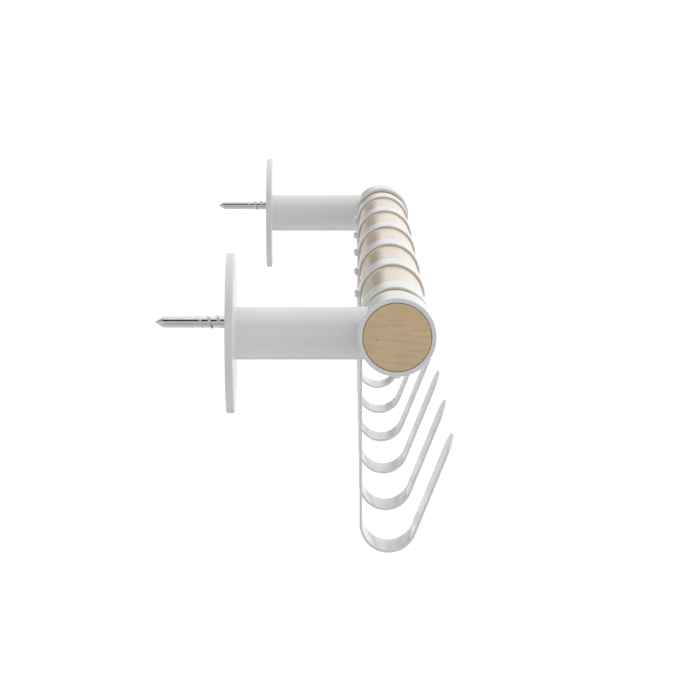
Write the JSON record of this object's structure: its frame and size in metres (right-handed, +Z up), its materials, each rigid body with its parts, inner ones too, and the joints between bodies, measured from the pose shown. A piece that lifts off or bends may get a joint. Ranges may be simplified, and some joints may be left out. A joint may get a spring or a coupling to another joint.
{
  "type": "wall-mounted coat rack",
  "caption": "Wall-mounted coat rail: a round pale wood rail on white steel brackets, with bent flat strip hooks screwed over it.",
  "frame": {"origin": "on the wall plane, midway between the two wall plates and level with their centres", "axes": "+X along the rail, to the right seen from the room; +Y into the wall; +Z up"},
  "size_m": [0.942, 0.1328, 0.1398],
  "materials": {
    "pale_wood": "clear matt lacquer",
    "white_powder_coat": "fine satin powder coat",
    "zinc_steel": "bright zinc plate"
  },
  "bodies": {
    "wall_screws": {"left_wall_screw": "zinc_steel", "right_wall_screw": "zinc_steel"},
    "rack": {"wood_rail": "pale_wood", "left_wall_plate": "white_powder_coat", "right_wall_plate": "white_powder_coat", "left_standoff_tube": "white_powder_coat", "right_standoff_tube": "white_powder_coat", "left_end_collar": "white_powder_coat", "right_end_collar": "white_powder_coat", "hook_1": "white_powder_coat", "hook_2": "white_powder_coat", "hook_3": "white_powder_coat", "hook_4": "white_powder_coat", "hook_5": "white_powder_coat", "hook_6": "white_powder_coat", "left_collar_screw": "zinc_steel", "right_collar_screw": "zinc_steel", "hook_screw_1": "zinc_steel", "hook_screw_2": "zinc_steel", "hook_screw_3": "zinc_steel", "hook_screw_4": "zinc_steel", "hook_screw_5": "zinc_steel", "hook_screw_6": "zinc_steel"}
  },
  "joints": [
    {"name": "rack_lift", "type": "slide", "parent": "wall_screws", "child": "rack", "axis": [0, 0, 1], "range_m": [0, 0.0098]}
  ]
}
